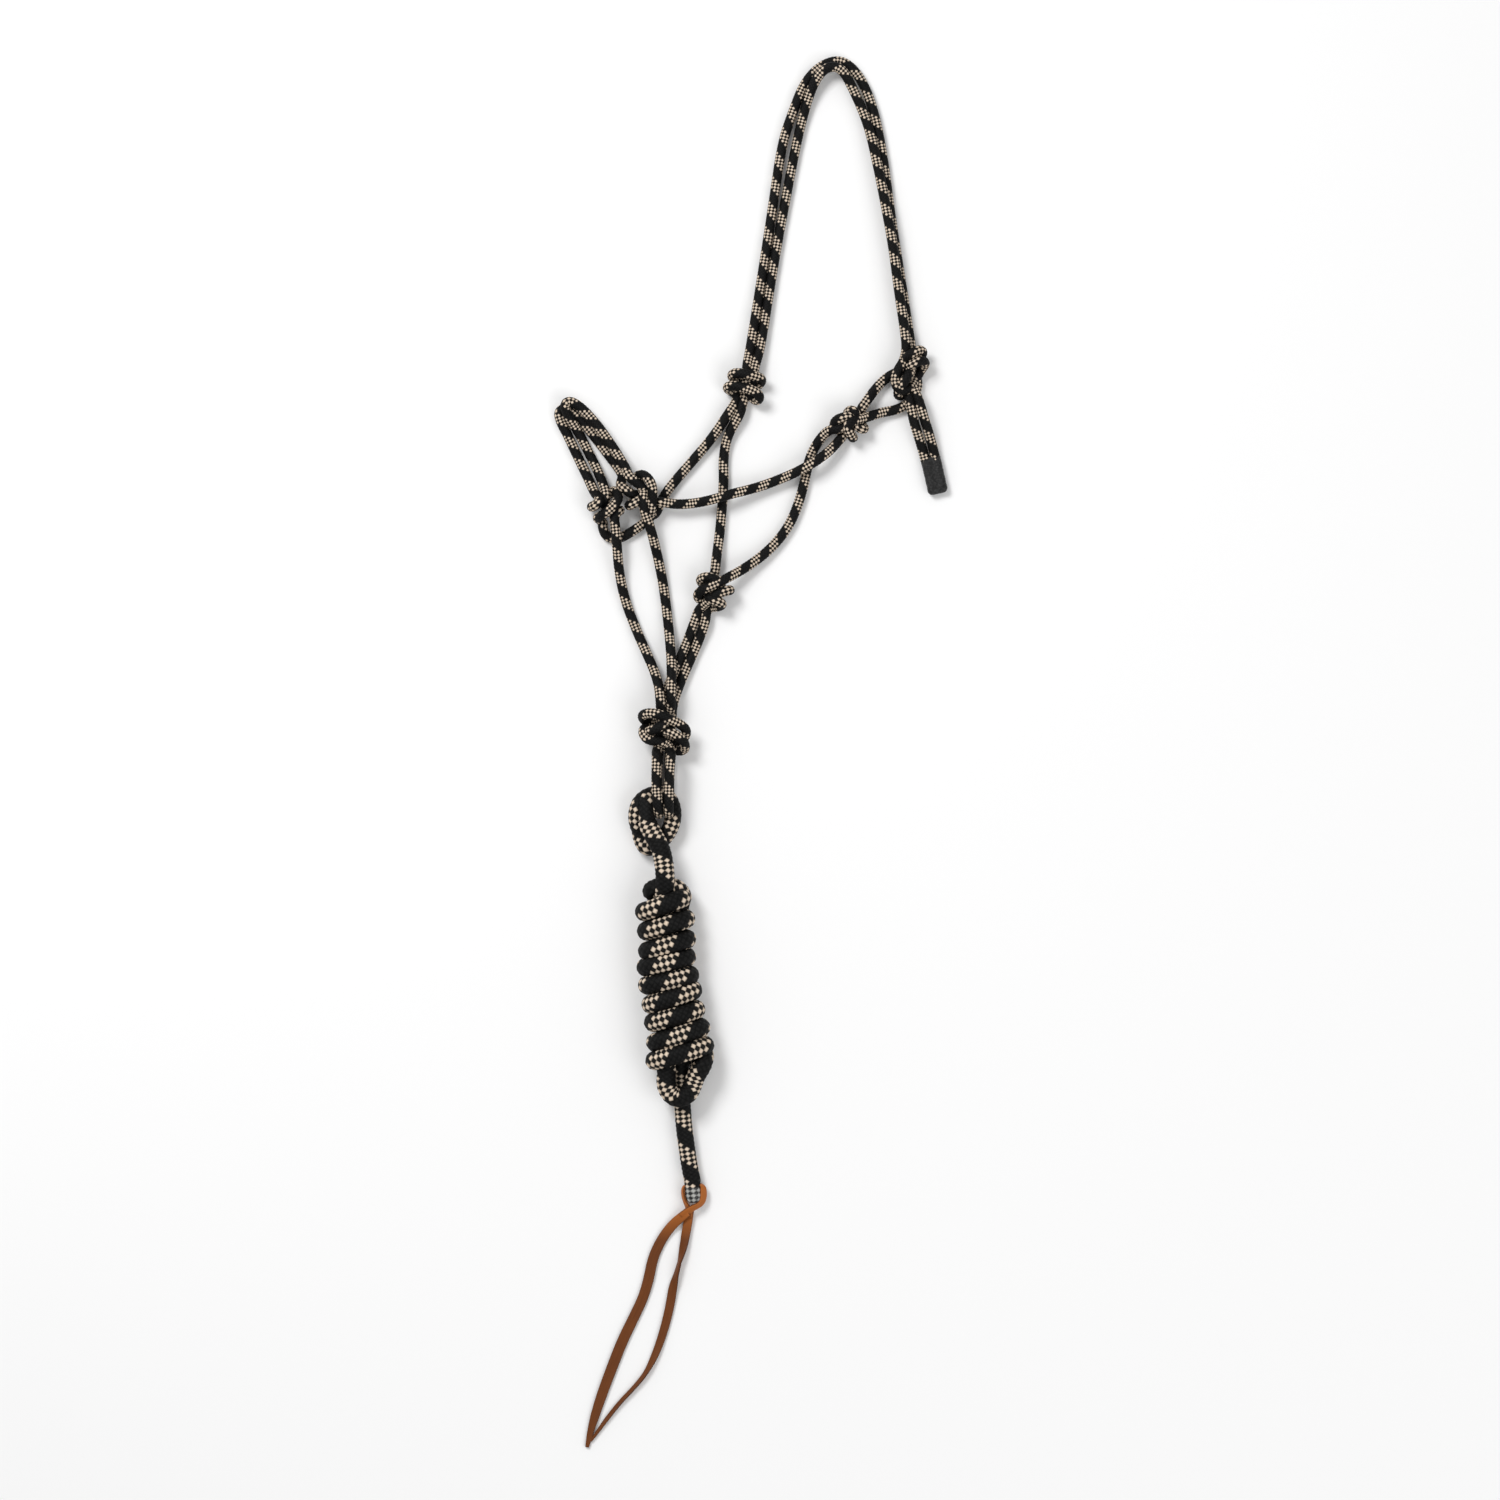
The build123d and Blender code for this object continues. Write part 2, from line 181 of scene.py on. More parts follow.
# The rope's way through each knot, which starts and ends between two stretches.
knotRoutes = {
    "cheekKnotFarCheek": [
        (-0.0026, 0.332, 0.01), (-0.0034, 0.3199, 0.012), (-0.0017, 0.3105, 0.011),
        (0.0017, 0.3036, 0.0075), (0.0069, 0.301, 0.01), (0.0086, 0.3053, 0.0165),
        (0.0017, 0.31, 0.02), (-0.0095, 0.313, 0.02), (-0.0172, 0.3139, 0.017),
        (-0.0198, 0.3122, 0.011), (-0.0172, 0.3105, 0.005), (-0.0103, 0.307, 0.004),
        (-0.012, 0.3001, 0.005)],
    "cheekKnotFarThroat": [
        (0.0043, 0.332, 0.01), (0.0026, 0.3216, 0.012), (0.0009, 0.3139, 0.009),
        (0.0052, 0.3139, 0.0045), (0.0099, 0.3173, 0.008), (0.0095, 0.3204, 0.016),
        (0.0017, 0.3225, 0.02), (-0.0069, 0.3242, 0.02), (-0.0138, 0.3246, 0.017),
        (-0.0159, 0.3225, 0.011), (-0.0129, 0.3199, 0.005), (-0.0043, 0.3156, 0.0038),
        (-0.0043, 0.3053, 0.007), (-0.0069, 0.2976, 0.007)],
    "throatKnotNear": [
        (-0.0215, 0.1479, 0.017), (-0.031, 0.1428, 0.02), (-0.0396, 0.1398, 0.0195),
        (-0.0451, 0.1354, 0.015), (-0.0439, 0.1307, 0.009), (-0.0361, 0.1324, 0.0045),
        (-0.0249, 0.1372, 0.005), (-0.0163, 0.1389, 0.011), (-0.0189, 0.1385, 0.0185),
        (-0.0267, 0.1359, 0.0185), (-0.0344, 0.1307, 0.015), (-0.0404, 0.1256, 0.009),
        (-0.0443, 0.1213, 0.006)],
    "throatKnotFar": [
        (-0.0301, 0.1522, 0.008), (-0.0353, 0.1453, 0.005), (-0.0409, 0.1445, 0.007),
        (-0.043, 0.1483, 0.013), (-0.0361, 0.1505, 0.019), (-0.0284, 0.1471, 0.0195),
        (-0.0236, 0.141, 0.013), (-0.0284, 0.1372, 0.008), (-0.0348, 0.135, 0.0105),
        (-0.0357, 0.1316, 0.017), (-0.0284, 0.1294, 0.0195), (-0.0232, 0.1268, 0.0155),
        (-0.0267, 0.1247, 0.007), (-0.0335, 0.1247, 0.005), (-0.0378, 0.1204, 0.006)],
    "cheekKnotNearLower": [
        (0.0963, 0.2855, 0.014), (0.0869, 0.2834, 0.02), (0.083, 0.2786, 0.02), (0.086, 0.2726, 0.017),
        (0.089, 0.2687, 0.0105), (0.0864, 0.2726, 0.004), (0.0826, 0.2821, 0.004),
        (0.0834, 0.2915, 0.008), (0.0869, 0.2933, 0.014), (0.0912, 0.2907, 0.015),
        (0.0886, 0.2838, 0.012), (0.0821, 0.2791, 0.0135), (0.0748, 0.2769, 0.014)],
    "cheekKnotNearUpper": [
        (0.0946, 0.2933, 0.007), (0.0937, 0.2855, 0.005), (0.0963, 0.2804, 0.005),
        (0.0985, 0.2769, 0.01), (0.0946, 0.2769, 0.016), (0.0886, 0.2821, 0.013),
        (0.0851, 0.2877, 0.0175), (0.0791, 0.2864, 0.019), (0.0744, 0.2847, 0.016),
        (0.0714, 0.2808, 0.01), (0.0757, 0.2769, 0.0045), (0.0813, 0.2731, 0.006)],
    "noseKnotFarLower": [
        (-0.1307, 0.2202, 0.013), (-0.1281, 0.215, 0.019), (-0.1324, 0.2107, 0.02),
        (-0.1363, 0.2098, 0.013), (-0.1342, 0.2116, 0.005), (-0.1273, 0.2159, 0.004),
        (-0.1204, 0.2227, 0.005), (-0.1148, 0.2245, 0.011), (-0.1122, 0.2193, 0.018),
        (-0.1144, 0.2124, 0.021), (-0.1213, 0.2064, 0.021), (-0.1273, 0.2021, 0.018),
        (-0.1312, 0.2008, 0.012), (-0.1294, 0.1999, 0.0055), (-0.1256, 0.1961, 0.0045)],
    "noseKnotFarUpper": [
        (-0.1234, 0.2184, 0.013), (-0.1256, 0.2116, 0.0125), (-0.1213, 0.2055, 0.0065),
        (-0.1152, 0.2055, 0.0055), (-0.1109, 0.2077, 0.01), (-0.1131, 0.2064, 0.0155),
        (-0.1165, 0.2012, 0.015)],
    "noseKnotNearUpper": [
        (-0.1049, 0.2382, 0.02), (-0.1015, 0.2335, 0.0215), (-0.0955, 0.2296, 0.0205),
        (-0.0907, 0.2245, 0.018), (-0.0916, 0.2167, 0.02), (-0.0907, 0.2073, 0.019)],
    "noseKnotNearLower": [
        (-0.1101, 0.2331, 0.009), (-0.1114, 0.2288, 0.014), (-0.1071, 0.2253, 0.0175),
        (-0.1019, 0.2214, 0.016), (-0.0968, 0.2202, 0.012), (-0.0929, 0.2172, 0.0135),
        (-0.0959, 0.2146, 0.019), (-0.1015, 0.2116, 0.0185), (-0.1045, 0.2111, 0.012),
        (-0.0989, 0.215, 0.008), (-0.092, 0.2227, 0.0085), (-0.0946, 0.2322, 0.0095),
        (-0.0972, 0.2369, 0.013), (-0.0916, 0.2378, 0.0185), (-0.086, 0.2331, 0.022),
        (-0.083, 0.2253, 0.022), (-0.0834, 0.2167, 0.02), (-0.0843, 0.2081, 0.017),
        (-0.0856, 0.2034, 0.0125), (-0.0821, 0.2034, 0.0075), (-0.0783, 0.209, 0.008),
        (-0.0778, 0.215, 0.0125)],
    "fiadorKnotJawFar": [
        (-0.0765, 0.0353, 0.017), (-0.0714, 0.0292, 0.02), (-0.0731, 0.0241, 0.026),
        (-0.08, 0.0198, 0.027), (-0.0856, 0.0185, 0.0235), (-0.0877, 0.0163, 0.017),
        (-0.0821, 0.0159, 0.0135), (-0.0748, 0.0181, 0.02), (-0.0688, 0.0176, 0.027),
        (-0.0619, 0.0139, 0.027), (-0.0559, 0.0082, 0.022), (-0.0555, 0.0026, 0.015),
        (-0.0602, 0.0004, 0.009), (-0.0697, 0.0034, 0.008), (-0.0774, 0.0069, 0.012),
        (-0.08, 0.0009, 0.02)],
    "fiadorKnotJawNear": [
        (-0.0675, 0.0413, 0.018), (-0.0688, 0.0327, 0.011), (-0.0757, 0.0267, 0.008),
        (-0.0851, 0.0241, 0.008), (-0.0912, 0.0275, 0.012), (-0.0925, 0.0318, 0.02),
        (-0.086, 0.0335, 0.0265), (-0.0774, 0.0323, 0.0285), (-0.0679, 0.0275, 0.0275),
        (-0.0593, 0.0236, 0.025), (-0.0542, 0.0189, 0.02), (-0.0555, 0.012, 0.015),
        (-0.0628, 0.0086, 0.011), (-0.074, 0.012, 0.008), (-0.0851, 0.0181, 0.0085),
        (-0.0903, 0.0215, 0.014), (-0.092, 0.0155, 0.02), (-0.0869, 0.0099, 0.023),
        (-0.0783, 0.0095, 0.0225), (-0.0705, 0.0065, 0.018), (-0.0675, 0, 0.021)],
    "fiadorKnotChinFar": [
        (-0.0765, 0.026, 0.008), (-0.0783, 0.012, 0.005)],
    "fiadorKnotChinNear": [
        (-0.0675, 0.0258, 0.008), (-0.0688, 0.0103, 0.005)],
    "crownTieOuter": [
        (0.1385, 0.3474, 0.009), (0.1376, 0.3363, 0.011), (0.1385, 0.3277, 0.015),
        (0.135, 0.3212, 0.02), (0.1307, 0.3152, 0.0195), (0.1268, 0.3096, 0.014),
        (0.1273, 0.3053, 0.0085), (0.1316, 0.307, 0.0045), (0.1376, 0.3139, 0.0045),
        (0.1436, 0.3225, 0.006), (0.1466, 0.3277, 0.008), (0.1509, 0.3332, 0.013),
        (0.1466, 0.3358, 0.0195), (0.1398, 0.332, 0.0205), (0.1359, 0.3302, 0.015),
        (0.1337, 0.3225, 0.0085), (0.135, 0.3113, 0.009)],
    "crownTieInner": [
        (0.1342, 0.344, 0.013), (0.1316, 0.3345, 0.014), (0.1264, 0.3268, 0.016),
        (0.1243, 0.3191, 0.017), (0.1256, 0.3122, 0.017), (0.1312, 0.3092, 0.016),
        (0.1367, 0.3113, 0.012), (0.141, 0.3173, 0.008), (0.1428, 0.3268, 0.006),
        (0.1458, 0.338, 0.007), (0.1488, 0.3431, 0.0125), (0.1441, 0.3444, 0.019),
        (0.1372, 0.3401, 0.0205), (0.1333, 0.3371, 0.015), (0.1342, 0.3285, 0.007),
        (0.1385, 0.3199, 0.006), (0.1402, 0.3122, 0.0095)],
    "leadHitch": [
        (-0.0912, -0.074, 0.0075), (-0.0946, -0.0671, 0.009), (-0.0972, -0.0593, 0.013),
        (-0.0972, -0.0507, 0.014), (-0.0937, -0.0421, 0.013), (-0.086, -0.037, 0.009),
        (-0.0765, -0.0353, 0.008), (-0.0688, -0.0404, 0.009), (-0.0654, -0.0507, 0.012),
        (-0.0667, -0.0619, 0.0125), (-0.0722, -0.0722, 0.011), (-0.08, -0.0791, 0.009),
        (-0.086, -0.0826, 0.0095), (-0.0903, -0.0808, 0.0095), (-0.0937, -0.0731, 0.008),
        (-0.095, -0.0628, 0.0075), (-0.0933, -0.0516, 0.0075), (-0.0912, -0.0434, 0.008),
        (-0.0886, -0.04, 0.014), (-0.0877, -0.0456, 0.02)],
    "leadEnd": [
        (-0.0497, -0.3646, 0.007), (-0.0493, -0.3715, 0.007), (-0.0486, -0.3801, 0.007),
        (-0.0482, -0.3879, 0.007)],
}

# The wound part of the lead, turn by turn from the bottom: left lobe x, y, then right lobe x, y.
hank = {
    "lobes": [
        (-0.0817, -0.264, -0.0387, -0.2511), (-0.0808, -0.2485, -0.0421, -0.2356),
        (-0.0826, -0.2313, -0.0464, -0.2202), (-0.0847, -0.2159, -0.049, -0.2038),
        (-0.0877, -0.1995, -0.0516, -0.1909), (-0.089, -0.184, -0.0542, -0.1754),
        (-0.0877, -0.1703, -0.0542, -0.16), (-0.0886, -0.1531, -0.055, -0.1428),
        (-0.0903, -0.1367, -0.0576, -0.1247),
    ],
    "middle": 0.021, "rise": 0.0128, "pointsPerTurn": 12, "bulge": 1.035,
    "coreDown": [
        (-0.074, -0.1316, 0.022), (-0.0757, -0.1488, 0.021), (-0.0748, -0.1789, 0.021),
        (-0.074, -0.2133, 0.021), (-0.0722, -0.2434, 0.021), (-0.0714, -0.2632, 0.021),
    ],
    "bight": [
        (-0.0714, -0.2752, 0.021), (-0.0722, -0.2855, 0.021), (-0.0671, -0.2941, 0.021),
        (-0.0593, -0.2967, 0.021), (-0.0525, -0.2924, 0.021), (-0.049, -0.2847, 0.021),
        (-0.0464, -0.2769, 0.022), (-0.0413, -0.2692, 0.024), (-0.0387, -0.2614, 0.022),
        (-0.0396, -0.2571, 0.014), (-0.0473, -0.2614, 0.0086), (-0.0602, -0.2632, 0.0085),
        (-0.0748, -0.2649, 0.009),
    ],
    "coreUp": [
        (-0.0602, -0.1187, 0.0092), (-0.0757, -0.1213, 0.0088), (-0.0851, -0.12, 0.014),
        (-0.0826, -0.117, 0.021), (-0.0714, -0.1144, 0.021), (-0.0602, -0.1178, 0.019),
        (-0.0585, -0.1273, 0.017), (-0.0628, -0.1402, 0.017), (-0.0645, -0.1617, 0.019),
        (-0.0628, -0.1961, 0.019), (-0.0611, -0.2305, 0.018),
    ]}


def hankRoute():
    points = list(hank["coreDown"]) + list(hank["bight"])
    half = hank["pointsPerTurn"] // 2
    lobes = hank["lobes"]
    for turn, (leftX, leftY, rightX, rightY) in enumerate(lobes):
        nextX, nextY = lobes[turn + 1][:2] if turn + 1 < len(lobes) else (None, None)
        sides = [(leftX, leftY, rightX, rightY, 1)]
        if nextX is not None:
            sides.append((rightX, rightY, nextX, nextY, -1))
        for startX, startY, endX, endY, face in sides:
            for step in range(half):
                swing = math.pi * step / half
                share = (1 - math.cos(swing)) / 2
                middleX = (startX + endX) / 2
                reach = (endX - startX) / 2 * hank["bulge"]
                points.append((middleX - reach * math.cos(swing),
                               startY + (endY - startY) * share,
                               hank["middle"] + face * hank["rise"] * math.sin(swing) * hank["bulge"]))
    points.append((lobes[-1][2], lobes[-1][3], hank["middle"]))
    return points + list(hank["coreUp"])


# Each rope is one length. Its sections follow each other; -1 runs a route backwards.
halterSections = [
    ("tailStrandLeft", -1), ("crownTieOuter", -1), ("crownStrandOuter", -1), ("cheekKnotFarCheek", 1),
    ("cheekStrandFar", 1), ("noseKnotFarLower", -1), ("noseStrandLower", -1), ("noseKnotNearLower", 1),
    ("cheekStrandNear", -1), ("cheekKnotNearUpper", -1), ("eyeLoop", 1), ("cheekKnotNearLower", 1),
    ("throatStrandNear", 1), ("throatKnotNear", 1), ("chinStrandFar", 1), ("fiadorKnotChinFar", 1),
    ("fiadorLoopFar", -1), ("fiadorKnotJawFar", -1), ("jawStrandFar", -1), ("noseKnotFarUpper", -1),
    ("noseStrandUpper", -1), ("noseKnotNearUpper", 1), ("jawStrandNear", 1), ("fiadorKnotJawNear", 1),
    ("fiadorLoopNear", 1), ("fiadorKnotChinNear", -1), ("chinStrandNear", -1), ("throatKnotFar", -1),
    ("throatStrandFar", -1), ("cheekKnotFarThroat", -1), ("crownStrandInner", 1), ("crownTieInner", 1),
    ("tailStrandRight", 1)]
leadSections = [("leadHitch", 1), ("leadNeck", 1), ("leadHank", 1), ("leadTail", 1), ("leadEnd", 1)]

halterRope = {"diameter": 0.0086, "lay": 0.0215, "ringVerts": 48, "relief": 0.085, "splineSteps": 40}
leadRope = {
    "diameter": 0.0146, "lay": 0.0325, "ringVerts": 40, "relief": 0.085, "splineSteps": 40,
    "hankSwell": 1.14,  # the rope is drawn thicker in the neck and the hank
    "tailPhase": 0.45}  # shift of the tail's pattern along the rope, in lays
yarnsEachWay = 8
yarnShape = {"sidePower": 2.4, "tipDrop": 0.55, "tipPower": 3}


def splineLine(points, steps):
    # The smooth line of a NURBS spline with these control points.
    curve = bpy.data.curves.new("routeLine", "CURVE")
    curve.dimensions = "3D"
    curve.resolution_u = steps
    spline = curve.splines.new("NURBS")
    spline.points.add(len(points) - 1)
    for point, place in zip(spline.points, points):
        point.co = (*place, 1.0)
    spline.order_u = 3
    spline.use_endpoint_u = True
    holder = bpy.data.objects.new("routeLine", curve)
    mesh = bpy.data.meshes.new_from_object(holder)
    line = np.array([vertex.co for vertex in mesh.vertices])
    bpy.data.meshes.remove(mesh)
    bpy.data.objects.remove(holder)
    bpy.data.curves.remove(curve)
    return line


def unit(rows):
    return rows / np.linalg.norm(rows, axis=-1, keepdims=True)


def layRope(sections, rope):
    # One rope's evenly spaced rings, their frames, and the rings where each section starts and ends.
    points, spans = [], {}
    for name, way in sections:
        route = allRoutes[name][::way]
        spans[name] = (len(points), len(points) + len(route) - 1)
        points += route
    line = splineLine(points, rope["splineSteps"])
    along = np.concatenate([[0], np.cumsum(np.linalg.norm(np.diff(line, axis=0), axis=1))])
    ringGap = rope["lay"] / rope["ringVerts"]
    count = int(along[-1] / ringGap) + 1
    places = np.arange(count) * ringGap
    centres = np.stack([np.interp(places, along, line[:, axis]) for axis in range(3)], axis=1)
    tangents = unit(np.gradient(centres, axis=0))
    normals = np.zeros_like(centres)
    normals[0] = unit(np.cross(tangents[0], (0.3, 0.2, 0.9)))
    for ring in range(1, count):
        # A frame that turns as little as it can.
        step = centres[ring] - centres[ring - 1]
        squared = step @ step
        normal = normals[ring - 1] - step * (2 / squared * (step @ normals[ring - 1]))
        tangent = tangents[ring - 1] - step * (2 / squared * (step @ tangents[ring - 1]))
        turned = tangents[ring] - tangent
        squared = turned @ turned
        if squared > 1e-18:
            normal = normal - turned * (2 / squared * (turned @ normal))
        normal = normal - tangents[ring] * (normal @ tangents[ring])
        normals[ring] = normal / np.linalg.norm(normal)
    last = len(points) - 2
    cuts = {}
    for name, _ in sections:
        start, end = spans[name]
        if name in knotRoutes:
            start, end = start - 1, end + 1
        cuts[name] = []
        for index in (start, end):
            share = min(max((index - 0.5) / last, 0), 1)
            place = np.interp(share * (len(line) - 1), np.arange(len(line)), along)
            cuts[name].append(int(round(place / ringGap)))
        cuts[name][0] = max(cuts[name][0], 0)
        cuts[name][1] = min(cuts[name][1], count - 1)
    laid = {"centres": centres, "tangents": tangents, "normals": normals, "cuts": cuts, "rope": rope}
    print(f"rope {sections[0][0]}: {places[-1]:.3f} m in {count} rings")
    return laid


def ropePiece(name, laid, parts, material, narrowing=None, swell=1.0, phase=0.0):
    # A closed tube for each part, with the braid's yarns raised on its surface.
    rope = laid["rope"]
    around = rope["ringVerts"]
    radius = rope["diameter"] / 2 * swell
    turn = np.arange(around) / around
    angle = turn * 2 * math.pi
    verts, faces, uvs = [], [], []
    base = 0
    for first, end in parts:
        rings = np.arange(first, end + 1)
        lengthwise = rings / around - phase
        a = (lengthwise[:, None] + turn) * yarnsEachWay
        b = (lengthwise[:, None] - turn) * yarnsEachWay
        cellA, cellB = np.floor(a + 1e-6), np.floor(b + 1e-6)
        acrossA, acrossB = np.abs(2 * (a - cellA) - 1), np.abs(2 * (b - cellB) - 1)
        upper = ((cellA + cellB) % 2) == 0
        across = np.where(upper, acrossA, acrossB)
        lengthways = np.where(upper, acrossB, acrossA)
        crown = ((1 - across ** yarnShape["sidePower"])
                 * (1 - yarnShape["tipDrop"] * lengthways ** yarnShape["tipPower"]))
        reach = radius * (1 - rope["relief"] + rope["relief"] * crown)
        if narrowing:
            reach = reach * narrowing(end - rings)[:, None]
        side = np.cross(laid["tangents"][rings], laid["normals"][rings])
        ringPoints = (laid["centres"][rings][:, None]
                      + (reach * np.cos(angle))[..., None] * laid["normals"][rings][:, None]
                      + (reach * np.sin(angle))[..., None] * side[:, None])
        rows = len(rings)
        verts.append(ringPoints.reshape(-1, 3))
        verts.append(laid["centres"][[first, end]])
        index = base + np.arange(rows * around).reshape(rows, around)
        after = np.roll(index, -1, axis=1)
        quads = np.stack([index[:-1], after[:-1], after[1:], index[1:]], axis=-1).reshape(-1, 4)
        low = np.broadcast_to(lengthwise[:-1, None], (rows - 1, around))
        high = np.broadcast_to(lengthwise[1:, None], (rows - 1, around))
        left = np.broadcast_to(turn, (rows - 1, around))
        right = left + 1 / around
        quadUv = np.stack([np.stack([low, left], -1), np.stack([low, right], -1),
                           np.stack([high, right], -1), np.stack([high, left], -1)], axis=2).reshape(-1, 2)
        startCap = np.stack([np.full(around, base + rows * around), after[0], index[0]], -1)
        endCap = np.stack([np.full(around, base + rows * around + 1), index[-1], after[-1]], -1)
        caps = np.concatenate([startCap, endCap])
        faces.append((quads, caps))
        uvs.append((quadUv, np.full((len(caps) * 3, 2), (lengthwise[0], 0.02))))
        base += rows * around + 2
    quads = np.concatenate([pair[0] for pair in faces])
    caps = np.concatenate([pair[1] for pair in faces])
    mesh = bpy.data.meshes.new(name)
    corners = np.concatenate([quads.ravel(), caps.ravel()])
    places = np.concatenate(verts)
    mesh.vertices.add(len(places))
    mesh.vertices.foreach_set("co", places.astype(np.float32).ravel())
    mesh.loops.add(len(corners))
    mesh.loops.foreach_set("vertex_index", corners.astype(np.int32))
    mesh.polygons.add(len(quads) + len(caps))
    starts = np.concatenate([np.arange(len(quads)) * 4, len(quads) * 4 + np.arange(len(caps)) * 3])
    mesh.polygons.foreach_set("loop_start", starts.astype(np.int32))
    mesh.update(calc_edges=True)
    mesh.polygons.foreach_set("use_smooth", np.arange(len(quads) + len(caps)) < len(quads))
    layer = mesh.uv_layers.new(name="braid")
    places = np.concatenate([pair[0] for pair in uvs] + [pair[1] for pair in uvs])
    layer.data.foreach_set("uv", places.ravel())
    mesh.validate()
    piece = bpy.data.objects.new(name, mesh)
    bpy.context.scene.collection.objects.link(piece)
    mesh.materials.append(material)
    return piece


def nodeMaker(material):
    # Short ways to add maths nodes to this material.
    tree = material.node_tree

    def calc(operation, *values):
        node = tree.nodes.new("ShaderNodeMath")
        node.operation = operation
        for socket, value in zip(node.inputs, values):
            if isinstance(value, (int, float)):
                socket.default_value = value
            else:
                tree.links.new(value, socket)
        return node.outputs[0]

    def mix(share, first, second):
        node = tree.nodes.new("ShaderNodeMix")
        node.data_type = "RGBA"
        for socket, value in ((node.inputs[0], share), (node.inputs[6], first), (node.inputs[7], second)):
            if isinstance(value, tuple):
                socket.default_value = value
            elif isinstance(value, (int, float)):
                socket.default_value = value
            else:
                tree.links.new(value, socket)
        return node.outputs[2]

    return tree, calc, mix


# gap is a painted shade colour for the hollows between the yarns and at the yarn tips; gapShade sets how
# strongly it is painted
coverLook = {
    "pale": (0.87, 0.735, 0.59, 1), "paleWorn": (0.60, 0.47, 0.35, 1),
    "dark": (0.0012, 0.0012, 0.0012, 1), "darkWornAndSheen": (0.014, 0.0135, 0.013, 1),
    "gap": (0.001, 0.001, 0.001, 1), "gapShade": 0.9, "paleYarns": 4, "paleSpread": 0.02,
    "fibreCount": 5.0, "fibreStretch": 0.9, "fibreScale": 1.6, "fibreBump": 0.6, "fibreHeight": 0.0004,
    "patchScale": 60, "roughness": 0.6, "shine": 0.12}
sealedLook = {
    **coverLook, "pale": (0.62, 0.61, 0.57, 1), "paleWorn": (0.26, 0.27, 0.26, 1),
    "darkWornAndSheen": (0.022, 0.024, 0.024, 1), "paleYarns": 5, "paleSpread": 0.08, "roughness": 0.2, "shine": 0.5}


